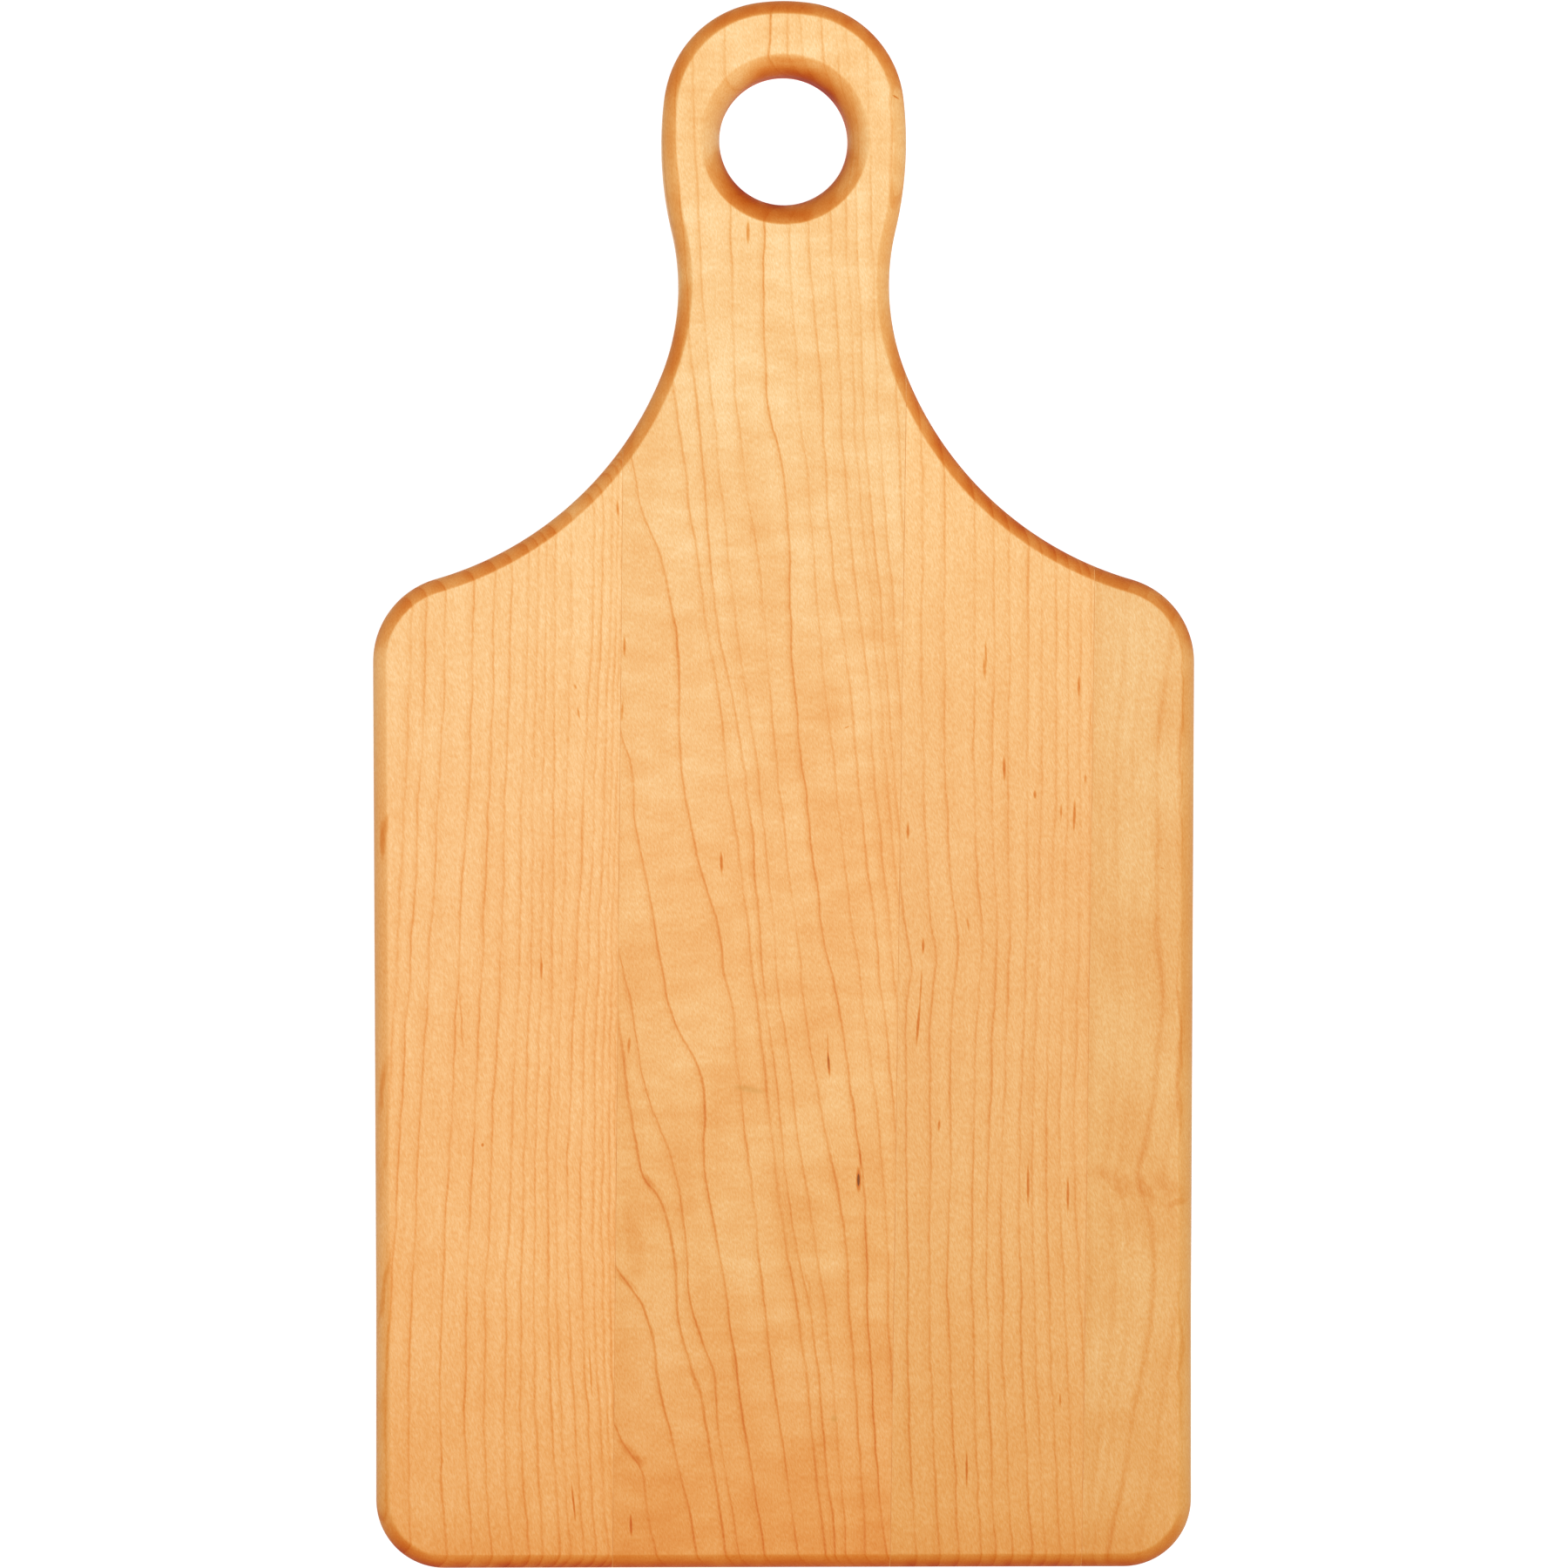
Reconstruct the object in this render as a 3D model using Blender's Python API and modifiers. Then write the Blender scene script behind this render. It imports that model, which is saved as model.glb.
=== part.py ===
"""Paddle-shaped maple cutting board, edge-glued from four staves.

The board lies flat with +Z up and its handle towards +Y. The origin is the middle of the
underside. Four staves are glued edge to edge with three straight seams, the outline is
band-sawn, the edges and the hanging hole are rounded over, and both faces are sanded
last, which leaves a fine arris where each face meets its rounded edge.
"""

import math

import bmesh
import bpy

# Overall size, in metres.
BOARD_LENGTH = 0.342
BASE_WIDTH = 0.178
SHOULDER_WIDTH = 0.1794
THICKNESS = 0.019

# The outline's right half, from the middle of the head down to the shoulder, as tangent
# arcs. Each is a radius, negative where the edge is hollow, and the heading that it ends
# on, in degrees turned clockwise from +X.
HEAD_CROWN = (0.0413, 8.1)
HEAD_CORNER = (0.0238, 83.3)
HEAD_FLANK = (0.0823, 103.5)
NECK_HOLLOW = (-0.0520, 69.0)
SHOULDER_HOLLOW = (-0.0755, 16.1)
SHOULDER_CORNER = (0.0188, 90.4)
BASE_CORNER_RADIUS = 0.0149

# The sides taper very slightly from the shoulders down to this height above the base.
TAPER_END_HEIGHT = 0.057

# The largest distance between a round stretch and the chords that stand for it.
CHORD_ERROR = 0.00002

# Edges are rounded over before the faces are sanded down by this much.
SANDED_OFF = 0.00035
EDGE_RADIUS = 0.0048
EDGE_SEGMENTS = 5

# Hanging hole, on the centre line.
HOLE_DIAMETER = 0.0282
HOLE_FROM_TOP = 0.0304
HOLE_EDGE_RADIUS = 0.0066
HOLE_SIDES = 56
HOLE_EDGE_SEGMENTS = 6

# Seams between staves: the x where each meets the base, and its lean from +Y, in degrees
# towards +X.
SEAM_LEFT = (-0.0375, 0.53)
SEAM_CENTRE = (0.0230, 0.79)
SEAM_RIGHT = (0.0648, 0.76)

# A cured glue line and the clearance that keeps it apart from the staves beside it.
GLUE_THICKNESS = 0.00015
CLEARANCE = 0.0003

# How far rough staves and cutters stand past the finished outline.
ROUGH_MARGIN = 0.010

# Oiled maple, one colour for each stave, and cured glue.
MAPLE_LEFT = (0.84, 0.47, 0.19, 1.0)
MAPLE_CENTRE = (0.86, 0.50, 0.21, 1.0)
MAPLE_RIGHT = (0.81, 0.45, 0.18, 1.0)
MAPLE_EDGE = (0.80, 0.45, 0.18, 1.0)
MAPLE_ROUGHNESS = 0.45
GLUE_AMBER = (0.48, 0.25, 0.09, 1.0)
GLUE_ROUGHNESS = 0.35

TOP_Y = BOARD_LENGTH / 2
BASE_Y = -BOARD_LENGTH / 2
HOLE_Y = TOP_Y - HOLE_FROM_TOP


def clear_scene():
    """Remove whatever the scene holds."""
    for old in list(bpy.data.objects):
        bpy.data.objects.remove(old, do_unlink=True)


def new_collection(name):
    """Make a collection in the scene."""
    collection = bpy.data.collections.new(name)
    bpy.context.scene.collection.children.link(collection)
    return collection


def make_material(name, colour, roughness):
    """Make a material that isn't metal."""
    material = bpy.data.materials.new(name)
    material.use_nodes = True
    shader = material.node_tree.nodes["Principled BSDF"]
    shader.inputs["Base Color"].default_value = colour
    shader.inputs["Roughness"].default_value = roughness
    shader.inputs["Metallic"].default_value = 0.0
    material.diffuse_color = colour
    return material


def arc_steps(radius, sweep):
    """Count the chords that keep an arc within the chord error."""
    largest = 2 * math.acos(1 - CHORD_ERROR / abs(radius))
    return max(2, math.ceil(abs(sweep) / largest))


def turn(points, heading, radius, end_heading):
    """Add an arc that leaves the last point along heading and ends on end_heading."""
    x, y = points[-1]
    centre_x = x - radius * math.sin(heading)
    centre_y = y - radius * math.cos(heading)
    sweep = end_heading - heading
    steps = arc_steps(radius, sweep)
    for step in range(1, steps + 1):
        angle = heading + sweep * step / steps
        points.append((centre_x + radius * math.sin(angle), centre_y + radius * math.cos(angle)))
    return end_heading


def right_half_outline():
    """Trace the outline clockwise from the middle of the head to the middle of the base."""
    points = [(0.0, TOP_Y)]
    heading = 0.0
    for radius, end_degrees in (HEAD_CROWN, HEAD_CORNER, HEAD_FLANK, NECK_HOLLOW, SHOULDER_HOLLOW):
        heading = turn(points, heading, radius, math.radians(end_degrees))

    # A short straight stretch brings the shoulder corner out to the shoulder's width.
    corner_radius, corner_end_degrees = SHOULDER_CORNER
    corner_reach = corner_radius * (1 - math.sin(heading))
    x, y = points[-1]
    straight_x = SHOULDER_WIDTH / 2 - corner_reach - x
    points.append((x + straight_x, y - straight_x * math.tan(heading)))
    turn(points, heading, corner_radius, math.radians(corner_end_degrees))

    side_x = BASE_WIDTH / 2
    points.append((side_x, BASE_Y + TAPER_END_HEIGHT))
    points.append((side_x, BASE_Y + BASE_CORNER_RADIUS))
    turn(points, math.radians(90), BASE_CORNER_RADIUS, math.radians(180))
    points.append((0.0, BASE_Y))
    return points


def full_outline():
    """Close the outline by mirroring its right half."""
    right = right_half_outline()
    left = [(-x, y) for x, y in reversed(right[1:-1])]
    return right + left


def flat_solid(name, outline, low_z, high_z, collection):
    """Make a closed flat solid from an outline, as a filled and extruded 2D curve."""
    curve = bpy.data.curves.new(name, "CURVE")
    curve.dimensions = "2D"
    curve.fill_mode = "BOTH"
    curve.extrude = (high_z - low_z) / 2
    spline = curve.splines.new("POLY")
    spline.points.add(len(outline) - 1)
    for point, (x, y) in zip(spline.points, outline):
        point.co = (x, y, 0.0, 1.0)
    spline.use_cyclic_u = True
    guide = bpy.data.objects.new(name + "_curve", curve)
    guide.location.z = (low_z + high_z) / 2
    collection.objects.link(guide)
    bpy.context.view_layer.update()

    evaluated = guide.evaluated_get(bpy.context.evaluated_depsgraph_get())
    mesh = bpy.data.meshes.new_from_object(evaluated)
    mesh.name = name
    solid = bpy.data.objects.new(name, mesh)
    solid.matrix_world = guide.matrix_world
    collection.objects.link(solid)
    bpy.data.objects.remove(guide, do_unlink=True)

    # Weld the caps to the sides, and make each flat face one face.
    shape = bmesh.new()
    shape.from_mesh(mesh)
    bmesh.ops.remove_doubles(shape, verts=shape.verts, dist=0.000001)
    flat_angle = math.radians(0.05)
    bmesh.ops.dissolve_limit(shape, angle_limit=flat_angle, verts=shape.verts, edges=shape.edges)
    bmesh.ops.recalc_face_normals(shape, faces=shape.faces)
    shape.to_mesh(mesh)
    shape.free()
    return solid


def hide_guide(guide):
    """Show a cutter or a guide as wire only."""
    guide.hide_render = True
    guide.display_type = "WIRE"


def make_board_form(collection):
    """Make the sawn and rounded board before its faces are sanded."""
    form = flat_solid("board_form", full_outline(), -SANDED_OFF, THICKNESS + SANDED_OFF, collection)
    edge = form.modifiers.new("rounded_edges", "BEVEL")
    edge.width = EDGE_RADIUS
    edge.segments = EDGE_SEGMENTS
    edge.profile = 0.5
    edge.limit_method = "ANGLE"
    edge.angle_limit = math.radians(45)
    edge.use_clamp_overlap = False
    hide_guide(form)
    return form


def hole_profile():
    """Give the hole cutter's outer side from top to bottom, as radius and height."""
    hole_radius = HOLE_DIAMETER / 2
    top = THICKNESS + SANDED_OFF
    profile = []
    for step in range(HOLE_EDGE_SEGMENTS + 1):
        angle = math.radians(90) * step / HOLE_EDGE_SEGMENTS
        reach = hole_radius + HOLE_EDGE_RADIUS * (1 - math.sin(angle))
        profile.append((reach, top - HOLE_EDGE_RADIUS * (1 - math.cos(angle))))
    mouth_radius = profile[0][0]
    upper = [(mouth_radius, top + ROUGH_MARGIN)] + profile
    lower = [(radius, THICKNESS - height) for radius, height in reversed(upper)]
    return [(0.0, upper[0][1])] + upper + lower + [(0.0, lower[-1][1])]


def make_hole_cutter(collection):
    """Turn the hanging hole, with both its rounded mouths, as one cutter."""
    profile = hole_profile()
    mesh = bpy.data.meshes.new("hole_cutter")
    edges = [(index, index + 1) for index in range(len(profile) - 1)]
    mesh.from_pydata([(radius, 0.0, height) for radius, height in profile], edges, [])
    cutter = bpy.data.objects.new("hole_cutter", mesh)
    cutter.location.y = HOLE_Y
    collection.objects.link(cutter)
    screw = cutter.modifiers.new("turned", "SCREW")
    screw.axis = "Z"
    screw.steps = HOLE_SIDES
    screw.render_steps = HOLE_SIDES
    screw.use_merge_vertices = True
    screw.merge_threshold = 0.00001
    hide_guide(cutter)
    return cutter


def seam_x(seam, y):
    """Give a seam's x at a y."""
    base_x, lean_degrees = seam
    return base_x + (y - BASE_Y) * math.tan(math.radians(lean_degrees))


def strip_outline(left_seam, left_offset, right_seam, right_offset):
    """Give the rough strip between two seams, or past the board's side where a seam is None."""
    low_y = BASE_Y - ROUGH_MARGIN
    high_y = TOP_Y + ROUGH_MARGIN
    far_x = SHOULDER_WIDTH / 2 + ROUGH_MARGIN
    corners = []
    for y in (low_y, high_y):
        corners.append((-far_x if left_seam is None else seam_x(left_seam, y) + left_offset, y))
    for y in (high_y, low_y):
        corners.append((far_x if right_seam is None else seam_x(right_seam, y) + right_offset, y))
    return corners


def shape_to_board(piece, form):
    """Trim a rough strip to the board's outline and rounded edges."""
    trim = piece.modifiers.new("board_shape", "BOOLEAN")
    trim.operation = "INTERSECT"
    trim.solver = "EXACT"
    trim.object = form


def make_stave(name, left_seam, right_seam, colour, form, collection):
    """Make one stave: a rough strip between its seams, shaped to the board."""
    setback = GLUE_THICKNESS / 2 + CLEARANCE
    outline = strip_outline(left_seam, setback, right_seam, -setback)
    stave = flat_solid(name, outline, 0.0, THICKNESS, collection)
    shape_to_board(stave, form)
    stave.data.materials.append(make_material(name + "_maple", colour, MAPLE_ROUGHNESS))
    return stave


def make_glue_line(name, seam, form, collection):
    """Make the film of cured glue that fills one seam."""
    half = GLUE_THICKNESS / 2
    film = flat_solid(name, strip_outline(seam, -half, seam, half), 0.0, THICKNESS, collection)
    shape_to_board(film, form)
    film.data.materials.append(make_material(name + "_glue", GLUE_AMBER, GLUE_ROUGHNESS))
    return film


def main():
    clear_scene()
    board = new_collection("cutting_board")
    guides = new_collection("cutters")
    form = make_board_form(guides)
    hole_cutter = make_hole_cutter(guides)

    make_stave("stave_left", None, SEAM_LEFT, MAPLE_LEFT, form, board)
    centre = make_stave("stave_centre", SEAM_LEFT, SEAM_CENTRE, MAPLE_CENTRE, form, board)
    make_stave("stave_right", SEAM_CENTRE, SEAM_RIGHT, MAPLE_RIGHT, form, board)
    make_stave("stave_edge", SEAM_RIGHT, None, MAPLE_EDGE, form, board)

    # The centre stave carries the whole head, so only it is drilled.
    hole = centre.modifiers.new("hanging_hole", "BOOLEAN")
    hole.operation = "DIFFERENCE"
    hole.solver = "EXACT"
    hole.object = hole_cutter

    make_glue_line("glue_line_left", SEAM_LEFT, form, board)
    make_glue_line("glue_line_centre", SEAM_CENTRE, form, board)
    make_glue_line("glue_line_right", SEAM_RIGHT, form, board)


main()
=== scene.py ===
"""Looks of the paddle-shaped maple cutting board: four edge-glued staves on a pale floor.

Lengths are in metres, and inside the materials in millimetres. The staves are rebuilt here
with the frame's own outline and seams, and with a finer surface than the frame's.
"""

import math

import bmesh
import bpy
from mathutils import Matrix, Vector


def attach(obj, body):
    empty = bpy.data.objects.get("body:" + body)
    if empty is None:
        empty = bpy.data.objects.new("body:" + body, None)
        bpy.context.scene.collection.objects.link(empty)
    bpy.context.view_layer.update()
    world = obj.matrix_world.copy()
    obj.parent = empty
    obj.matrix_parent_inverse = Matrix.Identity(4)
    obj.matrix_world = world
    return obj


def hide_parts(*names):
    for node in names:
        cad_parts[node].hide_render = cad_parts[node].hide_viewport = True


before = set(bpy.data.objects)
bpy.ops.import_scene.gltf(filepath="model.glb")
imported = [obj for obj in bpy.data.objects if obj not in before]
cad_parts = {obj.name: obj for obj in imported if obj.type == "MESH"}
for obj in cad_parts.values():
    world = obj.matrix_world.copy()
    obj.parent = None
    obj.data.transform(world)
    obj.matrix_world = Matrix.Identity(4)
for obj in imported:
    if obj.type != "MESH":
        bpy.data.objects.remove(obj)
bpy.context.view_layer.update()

# The board's outline, seams and edges, as in the frame. An arc is its radius and the heading it
# ends on, in degrees clockwise from +X. A seam is its x at the base and its lean in degrees.
BOARD_LENGTH = 0.342
BASE_WIDTH = 0.178
SHOULDER_WIDTH = 0.1794
THICKNESS = 0.019
OUTLINE_ARCS = (
    (0.0413, 8.1),
    (0.0238, 83.3),
    (0.0823, 103.5),
    (-0.0520, 69.0),
    (-0.0755, 16.1),
)
SHOULDER_CORNER = (0.0188, 90.4)
BASE_CORNER_RADIUS = 0.0149
TAPER_END_HEIGHT = 0.057
SANDED_OFF = 0.00035
EDGE_RADIUS = 0.0048
HOLE_RADIUS = 0.0141
HOLE_FROM_TOP = 0.0304
HOLE_EDGE_RADIUS = 0.0066
GLUE_THICKNESS = 0.00015
SEAM_LEFT = (-0.0375, 0.53)
SEAM_CENTRE = (0.0230, 0.79)
SEAM_RIGHT = (0.0648, 0.76)

# How finely the visible surface is divided.
CHORD_ERROR = 0.000004
EDGE_STEPS = 12
HOLE_SIDES = 144
ARRIS_SOFTNESS = 0.0003
SEAM_SLACK = 0.000003
CUT_TOLERANCE = 0.0000001
SHARP_DEGREES = 40

TOP_Y = BOARD_LENGTH / 2
BASE_Y = -BOARD_LENGTH / 2
HOLE_Y = TOP_Y - HOLE_FROM_TOP

# The same in millimetres, for the materials.
MM = 1000.0
LENGTH_MM = BOARD_LENGTH * MM
THICKNESS_MM = THICKNESS * MM
HOLE_RADIUS_MM = HOLE_RADIUS * MM
HOLE_PLACE_MM = (0.0, HOLE_Y * MM, 0.0)


# ---------------------------------------------------------------- outline


def turn(outline, heading, radius, end_heading):
    """Add an arc that leaves the last point along heading and ends on end_heading."""
    x, y = outline[-1][:2]
    centre_x = x - radius * math.sin(heading)
    centre_y = y - radius * math.cos(heading)
    sweep = end_heading - heading
    largest = 2 * math.acos(1 - CHORD_ERROR / abs(radius))
    steps = max(2, math.ceil(abs(sweep) / largest))
    for step in range(1, steps + 1):
        angle = heading + sweep * step / steps
        x = centre_x + radius * math.sin(angle)
        y = centre_y + radius * math.cos(angle)
        outline.append((x, y, angle))
    return end_heading


def right_half_outline():
    """Trace the outline from the head to the base, as x, y and heading clockwise from +X."""
    outline = [(0.0, TOP_Y, 0.0)]
    heading = 0.0
    for radius, end_degrees in OUTLINE_ARCS:
        heading = turn(outline, heading, radius, math.radians(end_degrees))
    corner_radius, corner_end_degrees = SHOULDER_CORNER
    corner_reach = corner_radius * (1 - math.sin(heading))
    x, y = outline[-1][:2]
    straight_x = SHOULDER_WIDTH / 2 - corner_reach - x
    outline.append((x + straight_x, y - straight_x * math.tan(heading), heading))
    turn(outline, heading, corner_radius, math.radians(corner_end_degrees))
    side_x = BASE_WIDTH / 2
    down = math.radians(90)
    outline.append((side_x, BASE_Y + TAPER_END_HEIGHT, down))
    outline.append((side_x, BASE_Y + BASE_CORNER_RADIUS, down))
    turn(outline, down, BASE_CORNER_RADIUS, math.radians(180))
    outline.append((0.0, BASE_Y, math.radians(180)))
    return outline


def full_outline():
    """Close the outline by mirroring its right half."""
    right = right_half_outline()
    left = [(-x, y, math.radians(360) - heading) for x, y, heading in reversed(right[1:-1])]
    return right + left


# ---------------------------------------------------------------- board mesh


def edge_rows(radius):
    """Give a rounded edge's rows from the upper face to the lower, as inset and height."""
    centre_z = THICKNESS + SANDED_OFF - radius
    face_angle = math.asin((THICKNESS - centre_z) / radius)
    face_inset = radius * (1 - math.cos(face_angle))
    upper = [(face_inset + ARRIS_SOFTNESS, THICKNESS)]
    softness_angle = ARRIS_SOFTNESS / radius
    angles = [face_angle, face_angle - softness_angle]
    angles += [face_angle * step / EDGE_STEPS for step in range(EDGE_STEPS - 1, -1, -1)]
    for angle in angles:
        upper.append((radius * (1 - math.cos(angle)), centre_z + radius * math.sin(angle)))
    lower = [(inset, THICKNESS - height) for inset, height in reversed(upper)]
    return upper + lower


def add_wall(shape, loops):
    """Join loops of points with a closed wall, and give back its first and last edges."""
    rows = [[shape.verts.new(point) for point in loop] for loop in loops]
    count = len(rows[0])
    for upper, lower in zip(rows, rows[1:]):
        for index in range(count):
            after = (index + 1) % count
            shape.faces.new((upper[index], upper[after], lower[after], lower[index]))
    rims = []
    for row in (rows[0], rows[-1]):
        following = row[1:] + row[:1]
        rims.append([shape.edges.get(ends) for ends in zip(row, following)])
    return rims


def board_shape():
    """Make the whole board, with its rounded edges and hanging hole, as one closed surface."""
    shape = bmesh.new()
    outline = full_outline()
    loops = []
    for inset, height in edge_rows(EDGE_RADIUS):
        loop = []
        for x, y, heading in outline:
            loop.append((x - inset * math.sin(heading), y - inset * math.cos(heading), height))
        loops.append(loop)
    outer_top, outer_bottom = add_wall(shape, loops)

    loops = []
    for inset, height in edge_rows(HOLE_EDGE_RADIUS):
        reach = HOLE_RADIUS + inset
        loop = []
        for side in range(HOLE_SIDES):
            angle = math.tau * side / HOLE_SIDES
            loop.append((reach * math.cos(angle), HOLE_Y + reach * math.sin(angle), height))
        loops.append(loop)
    hole_top, hole_bottom = add_wall(shape, loops)

    for rims in (outer_top + hole_top, outer_bottom + hole_bottom):
        bmesh.ops.triangle_fill(shape, use_beauty=True, edges=rims)
    bmesh.ops.recalc_face_normals(shape, faces=shape.faces)
    return shape


def cut_at_seam(shape, seam, side):
    """Cut a board at a seam's glue film, keep its left (-1) or right (1) part, and close it."""
    base_x, lean_degrees = seam
    lean = math.radians(lean_degrees)
    across = Vector((math.cos(lean), -math.sin(lean), 0.0))
    setback = GLUE_THICKNESS / 2 + SEAM_SLACK
    point = Vector((base_x, BASE_Y, 0.0)) + across * setback * side
    everything = shape.verts[:] + shape.edges[:] + shape.faces[:]
    cut = bmesh.ops.bisect_plane(
        shape,
        geom=everything,
        dist=CUT_TOLERANCE,
        plane_co=point,
        plane_no=-across * side,
        clear_outer=True,
    )
    rim = [part for part in cut["geom_cut"] if isinstance(part, bmesh.types.BMEdge)]
    bmesh.ops.holes_fill(shape, edges=rim, sides=0)


def make_stave(name, node, seam_on_left, seam_on_right, material):
    """Make one visible stave, which stands for its node in the frame."""
    shape = board_shape()
    if seam_on_left is not None:
        cut_at_seam(shape, seam_on_left, 1)
    if seam_on_right is not None:
        cut_at_seam(shape, seam_on_right, -1)
    bmesh.ops.recalc_face_normals(shape, faces=shape.faces)
    mesh = bpy.data.meshes.new(name)
    shape.to_mesh(mesh)
    shape.free()
    mesh.shade_smooth()
    mesh.set_sharp_from_angle(angle=math.radians(SHARP_DEGREES))
    mesh.materials.append(material)
    stave = bpy.data.objects.new(name, mesh)
    bpy.context.scene.collection.objects.link(stave)
    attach(stave, "root")
    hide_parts(node)
    return stave


# ---------------------------------------------------------------- shader nodes


class Wiring:
    """Adds shader nodes to a tree and joins them. A value is a number, a tuple or a socket."""

    def __init__(self, tree):
        self.tree = tree

    def feed(self, socket, value):
        """Join a socket to another one, or set it."""
        if isinstance(value, bpy.types.NodeSocket):
            self.tree.links.new(value, socket)
        else:
            socket.default_value = value

    def add(self, kind, values=(), **settings):
        """Add a node, and feed its inputs in order."""
        node = self.tree.nodes.new(kind)
        for name, value in settings.items():
            setattr(node, name, value)
        for socket, value in zip(node.inputs, values):
            self.feed(socket, value)
        return node

    def math(self, operation, *values):
        """Add one step of arithmetic."""
        return self.add("ShaderNodeMath", values, operation=operation).outputs[0]

    def total(self, *values):
        """Add up several values."""
        result = values[0]
        for value in values[1:]:
            result = self.math("ADD", result, value)
        return result

    def product(self, *values):
        """Multiply several values."""
        result = values[0]
        for value in values[1:]:
            result = self.math("MULTIPLY", result, value)
        return result

    def vector(self, operation, *values):
        """Add one step of arithmetic on vectors."""
        return self.add("ShaderNodeVectorMath", values, operation=operation).outputs[0]

    def length(self, vector):
        """Measure a vector."""
        node = self.add("ShaderNodeVectorMath", (vector,), operation="LENGTH")
        return node.outputs["Value"]

    def split(self, vector):
        """Take a vector apart."""
        return self.add("ShaderNodeSeparateXYZ", (vector,)).outputs

    def join(self, x, y, z):
        """Put a vector together."""
        return self.add("ShaderNodeCombineXYZ", (x, y, z)).outputs[0]

    def span(self, value, low, high, start=0.0, end=1.0, interpolation="SMOOTHSTEP"):
        """Carry low..high over to start..end, and hold the ends."""
        values = (value, low, high, start, end)
        node = self.add("ShaderNodeMapRange", values, interpolation_type=interpolation)
        return node.outputs[0]

    def noise(self, place, seed, kind):
        """Give one kind of noise, around zero."""
        size, step, detail = kind
        seed = seed + step
        stretch = tuple(1 / length for length in size)
        moved = self.vector("MULTIPLY_ADD", place, stretch, (seed, -seed, seed / 2))
        node = self.add("ShaderNodeTexNoise")
        self.feed(node.inputs["Vector"], moved)
        node.inputs["Scale"].default_value = 1.0
        node.inputs["Detail"].default_value = detail
        return self.math("SUBTRACT", node.outputs[0], 0.5)

    def curve(self, value, points):
        """Send a value from 0 to 1 through a smooth curve."""
        node = self.add("ShaderNodeFloatCurve", (1.0, value))
        curve = node.mapping.curves[0]
        curve.points[0].location = points[0]
        curve.points[1].location = points[-1]
        for x, y in points[1:-1]:
            curve.points.new(x, y)
        node.mapping.update()
        return node.outputs[0]

    def blend(self, factor, first, second):
        """Mix two colours."""
        node = self.add("ShaderNodeMix", data_type="RGBA")
        self.feed(node.inputs[0], factor)
        self.feed(node.inputs[6], first)
        self.feed(node.inputs[7], second)
        return node.outputs[2]


# ---------------------------------------------------------------- grain

# Each stave's grain is laid out in millimetres on the upper face.
# guides: the courses of some growth rings, each as (y, x) pairs from the handle down.
# rings: each ring's place, counted in guides, and its depth of colour. 2.4 lies four tenths of
#     the way from guide 2 to guide 3.
# ring_width: how wide a ring's line is.
# slant: how far the rings step sideways for each millimetre down through the board.
# flecks, stains, grazes, shade_and_oil_patches: streaks of gum, mineral stains, rubbed spots,
#     and places on the edges and in the hole painted darker with painted shade and paler with
#     painted light, partly oil held more and less. Each is a long patch: x, y, half width,
#     half length, lean in degrees, and depth.
# colours: the wood's colour in five places from the handle to the base, in display levels,
#     paler at the handle and deeper at the base partly as painted light and shade.
# curl_sheen, mottle: how strongly the curly figure's cross bands, a painted sheen of its wavy
#     fibres, and broad clouds show.
# banding: how strongly the rings show in the oiled wood of the edges.
# base_oil_and_shade: how much darker the end of the wood at the base is than the handle's,
#     partly oil in its end grain and partly painted shade.
# near_base_depth: how deep the colour is where the upper face darkens unevenly towards the base
# edge.
# seed: sets the stave's noise apart from the others'.

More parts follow.
